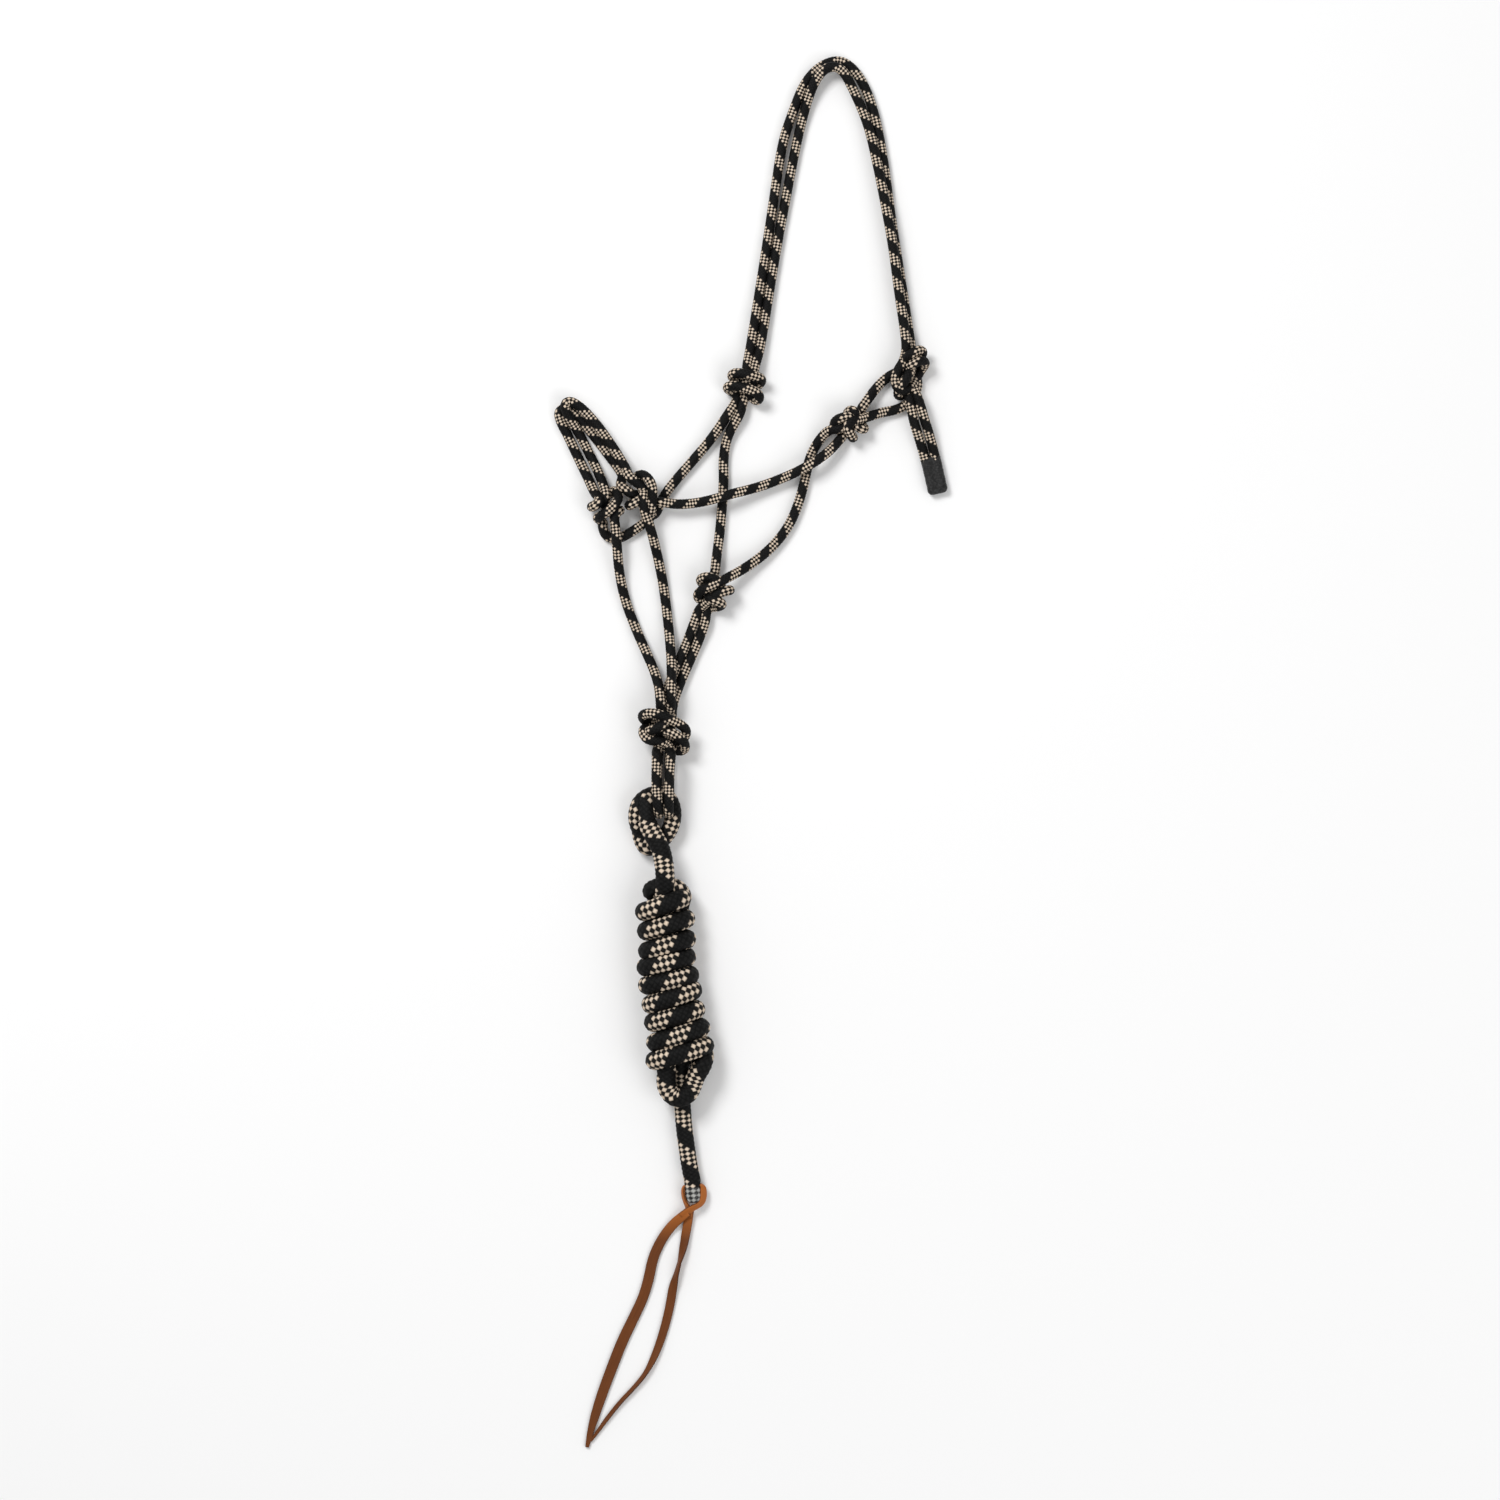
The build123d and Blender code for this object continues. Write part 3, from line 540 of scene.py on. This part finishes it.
def braidCover(name, look):
    # Yarns of a diamond braid: every cell of the pattern shows the yarn that lies on top there.
    material = bpy.data.materials.new(name)
    material.use_nodes = True
    tree, calc, mix = nodeMaker(material)
    shader = tree.nodes["Principled BSDF"]
    uvMap = tree.nodes.new("ShaderNodeUVMap")
    uvMap.uv_map = "braid"
    split = tree.nodes.new("ShaderNodeSeparateXYZ")
    tree.links.new(uvMap.outputs[0], split.inputs[0])
    lengthwise, turn = split.outputs[0], split.outputs[1]
    a = calc("MULTIPLY", calc("ADD", lengthwise, turn), yarnsEachWay)
    b = calc("MULTIPLY", calc("SUBTRACT", lengthwise, turn), yarnsEachWay)
    cellA, cellB = calc("FLOOR", a), calc("FLOOR", b)
    shareA, shareB = calc("FRACT", a), calc("FRACT", b)
    odd = calc("FLOORED_MODULO", calc("ADD", cellA, cellB), 2)
    lower = calc("GREATER_THAN", odd, 0.5)
    upper = calc("SUBTRACT", 1, lower)
    # pale yarns bulge a little over the dark ones beside them
    spread = look["paleSpread"]

    def nearest(count, cell):
        above = calc("FLOOR", calc("ADD", count, spread))
        below = calc("CEIL", calc("SUBTRACT", spread, count))
        return calc("SUBTRACT", calc("SUBTRACT", above, below), cell)

    nearA, nearB = nearest(a, cellA), nearest(b, cellB)
    atEdge = calc("SUBTRACT", 1, calc("MINIMUM", calc("COMPARE", nearA, cellA, 0.5),
                                        calc("COMPARE", nearB, cellB, 0.5)))
    paleHere = calc("LESS_THAN", calc("FLOORED_MODULO", cellA, yarnsEachWay), look["paleYarns"] - 0.5)
    paleNear = calc("LESS_THAN", calc("FLOORED_MODULO", nearA, yarnsEachWay), look["paleYarns"] - 0.5)
    paleOver = calc("MULTIPLY", calc("MULTIPLY", lower, atEdge), paleNear)
    pale = calc("ADD", calc("MULTIPLY", upper, paleHere), paleOver)
    across = calc("ADD", calc("MULTIPLY", shareA, upper), calc("MULTIPLY", shareB, lower))
    along = calc("ADD", calc("MULTIPLY", shareB, upper), calc("MULTIPLY", shareA, lower))
    edge = calc("ABSOLUTE", calc("SUBTRACT", calc("MULTIPLY", across, 2), 1))
    tip = calc("ABSOLUTE", calc("SUBTRACT", calc("MULTIPLY", along, 2), 1))
    # fibres run along each yarn
    fibrePlace = tree.nodes.new("ShaderNodeCombineXYZ")
    tree.links.new(calc("MULTIPLY", across, look["fibreCount"]), fibrePlace.inputs[0])
    tree.links.new(calc("MULTIPLY", along, look["fibreStretch"]), fibrePlace.inputs[1])
    # another stretch of noise for every yarn
    apart = calc("ADD", calc("MULTIPLY", cellA, 3.7), calc("MULTIPLY", cellB, 8.3))
    tree.links.new(apart, fibrePlace.inputs[2])
    fibres = tree.nodes.new("ShaderNodeTexNoise")
    fibres.inputs["Scale"].default_value = look["fibreScale"]
    fibres.inputs["Detail"].default_value = 3
    tree.links.new(fibrePlace.outputs[0], fibres.inputs["Vector"])
    fibre = fibres.outputs[0]
    patch = tree.nodes.new("ShaderNodeTexNoise")
    patch.inputs["Scale"].default_value = look["patchScale"]
    place = tree.nodes.new("ShaderNodeTexCoord")
    tree.links.new(place.outputs["Object"], patch.inputs["Vector"])
    worn = calc("MULTIPLY", fibre, calc("ADD", 0.5, patch.outputs[0]))
    paleTone = mix(worn, look["pale"], look["paleWorn"])
    # dark yarns: random wear, plus a painted sheen that lightens each dark yarn most at its crown and least
    # at its edges
    ridgeSheen = calc("SUBTRACT", 1, calc("MULTIPLY", edge, edge))
    darkTone = mix(calc("MULTIPLY", worn, ridgeSheen), look["dark"], look["darkWornAndSheen"])
    tone = mix(pale, darkTone, paleTone)
    # painted shade: each yarn is darkened towards the gap colour at its edges and tips, where shade falls
    # between the yarns
    gapShadeMask = calc("MAXIMUM", calc("POWER", edge, 3), calc("MULTIPLY", calc("POWER", tip, 5), 0.9))
    shaded = mix(calc("MULTIPLY", gapShadeMask, look["gapShade"]), tone, look["gap"])
    tree.links.new(shaded, shader.inputs["Base Color"])
    shader.inputs["Roughness"].default_value = look["roughness"]
    shader.inputs["Specular IOR Level"].default_value = look["shine"]
    bump = tree.nodes.new("ShaderNodeBump")
    bump.inputs["Strength"].default_value = look["fibreBump"]
    bump.inputs["Distance"].default_value = look["fibreHeight"]
    tree.links.new(fibre, bump.inputs["Height"])
    tree.links.new(bump.outputs[0], shader.inputs["Normal"])
    return material


halterCover = braidCover("halterBraid", coverLook)
leadCover = braidCover("leadBraid", coverLook)
sealedCover = braidCover("sealedBraid", sealedLook)
allRoutes = {**strandRoutes, **knotRoutes, "leadHank": hankRoute()}
halterLaid = layRope(halterSections, halterRope)
leadLaid = layRope(leadSections, leadRope)
leadLaid["cuts"]["leadHank"][0] = leadLaid["cuts"]["leadNeck"][0]

# Every stretch of rope between knots: the CAD part it stands for, and its body, or the two bodies it joins.
stretches = {
    "crownStrandOuter": ("crown_strand_outer", "halter"),
    "crownStrandInner": ("crown_strand_inner", "halter"),
    "cheekStrandFar": ("cheek_strand_far", "halter"), "cheekStrandNear": ("cheek_strand_near", "halter"),
    "throatStrandFar": ("throat_strand_far", "halter"), "throatStrandNear": ("throat_strand_near", "halter"),
    "noseStrandUpper": ("noseband_strand_upper", "halter"),
    "noseStrandLower": ("noseband_strand_lower", "halter"),
    "jawStrandFar": ("jaw_strand_far", "halter"), "jawStrandNear": ("jaw_strand_near", "halter"),
    "chinStrandFar": ("chin_strand_far", "halter"), "chinStrandNear": ("chin_strand_near", "halter"),
    "eyeLoop": ("eye_loop", "halter"),
    "tailStrandLeft": ("tail_strand_left", ("halter", "crown_tail")),
    "tailStrandRight": ("tail_strand_right", ("halter", "crown_tail")),
    "fiadorLoopFar": ("fiador_loop_far", ("halter", "lead")),
    "fiadorLoopNear": ("fiador_loop_near", ("halter", "lead"))}
leadStretches = {
    "leadHank": (["lead_neck", "lead_hank"], "lead", "coiled"),
    "leadTail": ("lead_tail", ("lead", "lead_end_piece"), "taut")}
# Each knot: the CAD part it stands for, and the rope sections that make it.
knotPieces = {
    "cheekKnotFar": ("cheek_knot_far", ["cheekKnotFarCheek", "cheekKnotFarThroat"]),
    "cheekKnotNear": ("cheek_knot_near", ["cheekKnotNearUpper", "cheekKnotNearLower"]),
    "throatKnot": ("throat_knot", ["throatKnotNear", "throatKnotFar"]),
    "noseKnotFar": ("nose_knot_far", ["noseKnotFarLower", "noseKnotFarUpper"]),
    "noseKnotNear": ("nose_knot_near", ["noseKnotNearLower", "noseKnotNearUpper"]),
    "fiadorKnot": ("fiador_knot", ["fiadorKnotChinFar", "fiadorKnotChinNear", "fiadorKnotJawFar",
                                   "fiadorKnotJawNear"]),
    "crownTie": ("crown_tie", ["crownTieOuter", "crownTieInner"])}


def place(piece, body):
    if isinstance(body, tuple):
        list(body)
        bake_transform(piece)
    else:
        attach(piece, body)


def declareStretch(name, laid, node, body, material, swell=1.0, phase=0.0):
    first, end = laid["cuts"][name]
    line = laid["centres"][first:end + 1]
    length = float(np.linalg.norm(np.diff(line, axis=0), axis=1).sum())
    piece = ropePiece(name, laid, [(first, end)], material, swell=swell, phase=phase)
    place(piece, body)
    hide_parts(*([node] if isinstance(node, str) else node))
    tuple(line[0])
    [tuple(point) for point in line[::4]]


for name, (node, body) in stretches.items():
    declareStretch(name, halterLaid, node, body, halterCover)
for name, (node, body, lay) in leadStretches.items():
    swell, phase = (leadRope["hankSwell"], 0) if lay == "coiled" else (1.0, leadRope["tailPhase"])
    declareStretch(name, leadLaid, node, body, leadCover, swell, phase)
print("ropes: stretches laid")

for name, (node, turns) in knotPieces.items():
    knot = ropePiece(name, halterLaid, [halterLaid["cuts"][turn] for turn in turns], halterCover)
    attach(knot, "halter")
    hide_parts(node)
hitch = ropePiece("leadHitch", leadLaid, [leadLaid["cuts"]["leadHitch"]], leadCover)
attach(hitch, "lead")
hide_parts("lead_hitch")


# The melted and dipped part at the very end of the lead, and the rounding of its tip.
sealedEnd = {"length": 0.0135, "rounding": 0.006, "tip": 0.25}


def roundedEnd(toEnd):
    gap = leadRope["lay"] / leadRope["ringVerts"]
    share = np.clip(toEnd * gap / sealedEnd["rounding"], 0, 1)
    return sealedEnd["tip"] + (1 - sealedEnd["tip"]) * np.sqrt(1 - (1 - share) ** 2)


sealed = ropePiece("leadEnd", leadLaid, [leadLaid["cuts"]["leadEnd"]], leadCover, roundedEnd,
                   phase=leadRope["tailPhase"])
sealed.data.materials.append(sealedCover)
ringFaces = leadRope["ringVerts"]
startCap = len(sealed.data.polygons) - 2 * ringFaces
sealedRings = round(sealedEnd["length"] / leadRope["lay"] * ringFaces)
sealedFrom = startCap - sealedRings * ringFaces
sealed.data.polygons.foreach_set("material_index", [
    int(face >= sealedFrom and not startCap <= face < startCap + ringFaces)
    for face in range(len(sealed.data.polygons))])
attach(sealed, "lead_end_piece")
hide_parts("lead_end")
print("ropes: knots, hitch and rope end")

leatherLook = {
    "lit": (0.2, 0.06, 0.011, 1), "deep": (0.085, 0.022, 0.004, 1), "edge": (0.03, 0.008, 0.002, 1),
    "loopLit": (0.5, 0.15, 0.025, 1), "loopLitFrom": 0.42, "loopLitGrowth": 25, "loopLitMost": 0.7,
    "grainScale": 1100, "cloudScale": 55, "edgeSharpness": 14, "edgeShade": 0.8, "streakScale": (40, 30),
    "tonesMixed": 0.55, "roughness": 0.5, "shine": 0.2, "bump": 0.3, "bumpHeight": 0.0003}


def leatherFinish():
    # Smooth side with fine grain, long soft streaks, and darker cut edges.
    material = bpy.data.materials.new("popperLeather")
    material.use_nodes = True
    tree, calc, mix = nodeMaker(material)
    shader = tree.nodes["Principled BSDF"]
    place = tree.nodes.new("ShaderNodeTexCoord")
    grain = tree.nodes.new("ShaderNodeTexVoronoi")
    grain.inputs["Scale"].default_value = leatherLook["grainScale"]
    cloud = tree.nodes.new("ShaderNodeTexNoise")
    cloud.inputs["Scale"].default_value = leatherLook["cloudScale"]
    cloud.inputs["Detail"].default_value = 6
    for node in (grain, cloud):
        tree.links.new(place.outputs["Object"], node.inputs["Vector"])
    uvMap = tree.nodes.new("ShaderNodeUVMap")
    uvMap.uv_map = "lace"
    split = tree.nodes.new("ShaderNodeSeparateXYZ")
    tree.links.new(uvMap.outputs[0], split.inputs[0])
    towardsEdge = calc("ABSOLUTE", calc("COSINE", calc("MULTIPLY", split.outputs[1], 2 * math.pi)))
    edge = calc("POWER", towardsEdge, leatherLook["edgeSharpness"])
    streakPlace = tree.nodes.new("ShaderNodeCombineXYZ")
    for axis, scale in enumerate(leatherLook["streakScale"]):
        tree.links.new(calc("MULTIPLY", split.outputs[axis], scale), streakPlace.inputs[axis])
    streaks = tree.nodes.new("ShaderNodeTexNoise")
    streaks.inputs["Scale"].default_value = 1
    tree.links.new(streakPlace.outputs[0], streaks.inputs["Vector"])
    both = calc("MULTIPLY", calc("ADD", cloud.outputs[0], streaks.outputs[0]), leatherLook["tonesMixed"])
    tone = mix(both, leatherLook["lit"], leatherLook["deep"])
    # painted highlight: the leather is painted brighter towards the popper's raised loop (higher y), as if
    # lit there
    spot = tree.nodes.new("ShaderNodeSeparateXYZ")
    tree.links.new(place.outputs["Object"], spot.inputs[0])
    rise = calc("ADD", spot.outputs[1], leatherLook["loopLitFrom"])
    growth = calc("MULTIPLY", rise, leatherLook["loopLitGrowth"])
    loopLitShare = calc("MINIMUM", growth, leatherLook["loopLitMost"])
    tone = mix(calc("MAXIMUM", loopLitShare, 0), tone, leatherLook["loopLit"])
    cut = mix(calc("MULTIPLY", edge, leatherLook["edgeShade"]), tone, leatherLook["edge"])
    tree.links.new(cut, shader.inputs["Base Color"])
    shader.inputs["Roughness"].default_value = leatherLook["roughness"]
    shader.inputs["Specular IOR Level"].default_value = leatherLook["shine"]
    bump = tree.nodes.new("ShaderNodeBump")
    bump.inputs["Strength"].default_value = leatherLook["bump"]
    bump.inputs["Distance"].default_value = leatherLook["bumpHeight"]
    tree.links.new(calc("ADD", grain.outputs[0], streaks.outputs[0]), bump.inputs["Height"])
    tree.links.new(bump.outputs[0], shader.inputs["Normal"])
    return material


leather = leatherFinish()
# The popper's leather lace: x, y, z, half width, half thickness, and how far it is turned on edge in degrees.
popper = {
    "popperLoop": [
        (-0.0585, -0.399, 0.0055, 0.004, 0.0012, 10), (-0.0546, -0.3952, 0.007, 0.0036, 0.0013, 25),
        (-0.0494, -0.3913, 0.0085, 0.0034, 0.0013, 40), (-0.0443, -0.3891, 0.0085, 0.0035, 0.0013, 48),
        (-0.0409, -0.3857, 0.008, 0.0037, 0.0013, 45), (-0.0399, -0.3801, 0.008, 0.0038, 0.0013, 42),
        (-0.0402, -0.3741, 0.008, 0.0035, 0.0014, 45), (-0.0426, -0.3715, 0.0075, 0.0024, 0.0018, 80),
        (-0.049, -0.3724, 0.007, 0.0023, 0.0021, 90), (-0.0552, -0.3728, 0.007, 0.0023, 0.002, 90),
        (-0.0574, -0.3745, 0.007, 0.0028, 0.0015, 80), (-0.0576, -0.3793, 0.007, 0.0032, 0.0013, 75),
        (-0.0565, -0.3848, 0.007, 0.0033, 0.0013, 75), (-0.0537, -0.39, 0.006, 0.0033, 0.0013, 60),
        (-0.0516, -0.3947, 0.004, 0.0034, 0.0013, 30), (-0.0529, -0.3999, 0.003, 0.0038, 0.0013, 20),
    ],
    "popperTailLong": [
        (-0.0533, -0.3947, 0.007, 0.0036, 0.0013, 25), (-0.0585, -0.399, 0.0052, 0.004, 0.0012, 10),
        (-0.0654, -0.4051, 0.0026, 0.0042, 0.0012, 6), (-0.0718, -0.4128, 0.0016, 0.0043, 0.0012, 0),
        (-0.0778, -0.4223, 0.0015, 0.0044, 0.0012, 0), (-0.0838, -0.436, 0.0015, 0.0045, 0.0012, 4),
        (-0.0869, -0.4524, 0.0016, 0.0046, 0.0012, 6), (-0.0916, -0.4687, 0.0015, 0.0045, 0.0012, 0),
        (-0.0993, -0.485, 0.0015, 0.0046, 0.0012, 0), (-0.1101, -0.507, 0.0015, 0.0047, 0.0012, 0),
        (-0.1187, -0.5293, 0.0015, 0.0047, 0.0012, 0), (-0.1273, -0.5521, 0.0015, 0.0045, 0.0012, 0),
        (-0.1337, -0.5719, 0.0014, 0.0039, 0.0012, 0), (-0.138, -0.5874, 0.0013, 0.0026, 0.0011, 0),
        (-0.14, -0.5977, 0.0012, 0.0008, 0.0009, 0),
    ],
    "popperTailShort": [
        (-0.0516, -0.3939, 0.0036, 0.0034, 0.0013, 30), (-0.0525, -0.399, 0.003, 0.0039, 0.0013, 15),
        (-0.0546, -0.4111, 0.0022, 0.004, 0.0013, 12), (-0.0572, -0.4257, 0.0028, 0.0039, 0.0013, 35),
        (-0.0606, -0.4386, 0.004, 0.0037, 0.0012, 72), (-0.0636, -0.4498, 0.0036, 0.0038, 0.0012, 60),
        (-0.0664, -0.461, 0.002, 0.0039, 0.0012, 18), (-0.0684, -0.4739, 0.0015, 0.0039, 0.0012, 0),
        (-0.0714, -0.4876, 0.0015, 0.0038, 0.0012, 0), (-0.0761, -0.504, 0.0015, 0.0036, 0.0012, 0),
        (-0.0817, -0.519, 0.0019, 0.0033, 0.0012, 25), (-0.0894, -0.5341, 0.0024, 0.0028, 0.0011, 55),
        (-0.1002, -0.547, 0.0022, 0.0024, 0.0011, 55), (-0.1118, -0.559, 0.002, 0.0022, 0.0011, 45),
        (-0.123, -0.5732, 0.0017, 0.002, 0.0011, 30), (-0.1316, -0.5852, 0.0014, 0.0015, 0.001, 15),
        (-0.1369, -0.5925, 0.0013, 0.0006, 0.0009, 0),
    ],
    "sectionVerts": 20, "ringGap": 0.0012, "splineSteps": 24,
    "sideSquareness": 0.55, "faceSquareness": 0.7, "declaredWidth": 0.009}


def lacePiece(name, stations):
    # A flat lace along a smooth line, with rounded edges and closed ends.
    stations = np.array(stations)
    line = splineLine([tuple(row[:3]) for row in stations], popper["splineSteps"])
    along = np.concatenate([[0], np.cumsum(np.linalg.norm(np.diff(line, axis=0), axis=1))])
    count = int(along[-1] / popper["ringGap"]) + 1
    places = np.linspace(0, along[-1], count)
    centres = np.stack([np.interp(places, along, line[:, axis]) for axis in range(3)], axis=1)
    share = np.interp(places, along, np.linspace(0, len(stations) - 2, len(line))) + 0.5
    share = np.clip(share, 0, len(stations) - 1)
    rows = np.arange(len(stations))
    half, thick, lean = (np.interp(share, rows, stations[:, column]) for column in (3, 4, 5))
    lean = np.radians(lean)[:, None]
    tangents = unit(np.gradient(centres, axis=0))
    level = unit(np.cross((0, 0, 1), tangents))
    upward = np.cross(tangents, level)
    wide = np.cos(lean) * level + np.sin(lean) * upward
    flat = np.cross(tangents, wide)
    around = popper["sectionVerts"]
    angle = np.arange(around) / around * 2 * math.pi
    outX = np.sign(np.cos(angle)) * np.abs(np.cos(angle)) ** popper["sideSquareness"]
    outY = np.sign(np.sin(angle)) * np.abs(np.sin(angle)) ** popper["faceSquareness"]
    rings = (centres[:, None] + (half[:, None] * outX)[..., None] * wide[:, None]
             + (thick[:, None] * outY)[..., None] * flat[:, None])
    verts = [tuple(point) for ring in rings for point in ring] + [tuple(centres[0]), tuple(centres[-1])]
    faces, uvs = [], []
    for ring in range(count - 1):
        for side in range(around):
            after = (side + 1) % around
            faces.append((ring * around + side, ring * around + after,
                          (ring + 1) * around + after, (ring + 1) * around + side))
            uvs += [(places[ring], side / around), (places[ring], (side + 1) / around),
                    (places[ring + 1], (side + 1) / around), (places[ring + 1], side / around)]
    for side in range(around):
        after = (side + 1) % around
        faces.append((count * around, after, side))
        faces.append((count * around + 1, (count - 1) * around + side, (count - 1) * around + after))
        uvs += [(0, 0)] * 6
    mesh = bpy.data.meshes.new(name)
    mesh.from_pydata(verts, [], faces)
    layer = mesh.uv_layers.new(name="lace")
    layer.data.foreach_set("uv", np.array(uvs, dtype=np.float32).ravel())
    mesh.polygons.foreach_set("use_smooth", [True] * len(faces))
    mesh.update()
    mesh.materials.append(leather)
    piece = bpy.data.objects.new(name, mesh)
    bpy.context.scene.collection.objects.link(piece)
    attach(piece, "popper")
    return piece, centres, float(along[-1])


loopPiece, _, _ = lacePiece("popperLoop", popper["popperLoop"])
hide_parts("popper_loop", "popper_knot")
for name, node in (("popperTailLong", "popper_tail_long"), ("popperTailShort", "popper_tail_short")):
    tail, centres, length = lacePiece(name, popper[name])
    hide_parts(node)
print("popper: loop and two tails")

sleeve = {
    "middle": (0.15825, 0.23825, 0.0047), "size": (0.0172, 0.0338, 0.0092), "lean": 0.2195,
    "edge": 0.0038, "edgeSteps": 6, "cuts": 24, "sideCuts": 8, "mouth": 0.0011, "mouthDepth": 0.0025,
    "waist": 0.13, "waistWidth": 0.0022, "ripples": ((0.012, 900, 0), (0.008, 2300, 1)), "sharpAngle": 50,
    "colour": (0.004, 0.004, 0.004, 1), "worn": (0.045, 0.045, 0.045, 1), "wear": 2.2,
    "speckleScale": 620, "foldScale": 150, "roughness": 0.4, "shine": 0.25, "bump": 0.5, "bumpHeight": 0.0004}


def sleeveFinish():
    material = bpy.data.materials.new("shrinkSleeve")
    material.use_nodes = True
    tree, calc, mix = nodeMaker(material)
    shader = tree.nodes["Principled BSDF"]
    place = tree.nodes.new("ShaderNodeTexCoord")
    speckle = tree.nodes.new("ShaderNodeTexNoise")
    speckle.inputs["Scale"].default_value = sleeve["speckleScale"]
    speckle.inputs["Detail"].default_value = 4
    folds = tree.nodes.new("ShaderNodeTexNoise")
    folds.inputs["Scale"].default_value = sleeve["foldScale"]
    for node in (speckle, folds):
        tree.links.new(place.outputs["Object"], node.inputs["Vector"])
    spots = calc("POWER", speckle.outputs[0], 3.0)
    tone = mix(calc("MULTIPLY", spots, sleeve["wear"]), sleeve["colour"], sleeve["worn"])
    tree.links.new(tone, shader.inputs["Base Color"])
    shader.inputs["Roughness"].default_value = sleeve["roughness"]
    shader.inputs["Specular IOR Level"].default_value = sleeve["shine"]
    bump = tree.nodes.new("ShaderNodeBump")
    bump.inputs["Strength"].default_value = sleeve["bump"]
    bump.inputs["Distance"].default_value = sleeve["bumpHeight"]
    tree.links.new(calc("ADD", speckle.outputs[0], folds.outputs[0]), bump.inputs["Height"])
    tree.links.new(bump.outputs[0], shader.inputs["Normal"])
    return material


def buildSleeve():
    bpy.ops.object.select_all(action="DESELECT")
    bpy.ops.mesh.primitive_cube_add(size=1)
    piece = bpy.context.object
    piece.name = "tailSleeve"
    piece.scale = sleeve["size"]
    bpy.ops.object.transform_apply(location=False, rotation=False, scale=True)
    mesh = piece.data
    # round the four long edges
    for edge in mesh.edges:
        ends = [mesh.vertices[index].co for index in edge.vertices]
        edge.select = abs(ends[0].y - ends[1].y) > sleeve["mouth"]
    for part in (*mesh.vertices, *mesh.polygons):
        part.select = False
    bpy.ops.object.mode_set(mode="EDIT")
    bpy.ops.mesh.select_mode(type="EDGE")
    bpy.ops.mesh.bevel(offset=sleeve["edge"], segments=sleeve["edgeSteps"], affect="EDGES")
    bpy.ops.mesh.select_all(action="DESELECT")
    bpy.ops.object.mode_set(mode="OBJECT")
    # sink the mouth that the two ropes enter
    for face in mesh.polygons:
        face.select = face.normal.y > 0.9
    bpy.ops.object.mode_set(mode="EDIT")
    bpy.ops.mesh.select_mode(type="FACE")
    bpy.ops.mesh.inset(thickness=sleeve["mouth"])
    bpy.ops.mesh.extrude_region_move(TRANSFORM_OT_translate={"value": (0, -sleeve["mouthDepth"], 0)})
    width, length = sleeve["size"][:2]
    for cut in range(1, sleeve["cuts"]):
        bpy.ops.mesh.select_all(action="SELECT")
        bpy.ops.mesh.bisect(plane_co=(0, length * (cut / sleeve["cuts"] - 0.5), 0), plane_no=(0, 1, 0))
    for cut in range(1, sleeve["sideCuts"]):
        bpy.ops.mesh.select_all(action="SELECT")
        bpy.ops.mesh.bisect(plane_co=(width * (cut / sleeve["sideCuts"] - 0.5), 0, 0), plane_no=(1, 0, 0))
    bpy.ops.mesh.select_all(action="SELECT")
    bpy.ops.mesh.normals_make_consistent(inside=False)
    bpy.ops.object.mode_set(mode="OBJECT")
    for vertex in mesh.vertices:
        # drawn in between the ropes, and gripped unevenly along its length
        valley = math.exp(-(vertex.co.x / sleeve["waistWidth"]) ** 2)
        vertex.co.z *= 1 - sleeve["waist"] * valley
        vertex.co.x *= 1 + sum(size * math.sin(vertex.co.y * rate + start)
                               for size, rate, start in sleeve["ripples"])
    piece.rotation_euler = (0, 0, sleeve["lean"])
    piece.location = sleeve["middle"]
    bpy.ops.object.transform_apply(location=True, rotation=True, scale=True)
    bpy.ops.object.shade_smooth_by_angle(angle=math.radians(sleeve["sharpAngle"]))
    mesh.materials.append(sleeveFinish())
    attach(piece, "crown_tail")
    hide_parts("tail_sleeve")
    print("sleeve: on the two crown ends")


buildSleeve()
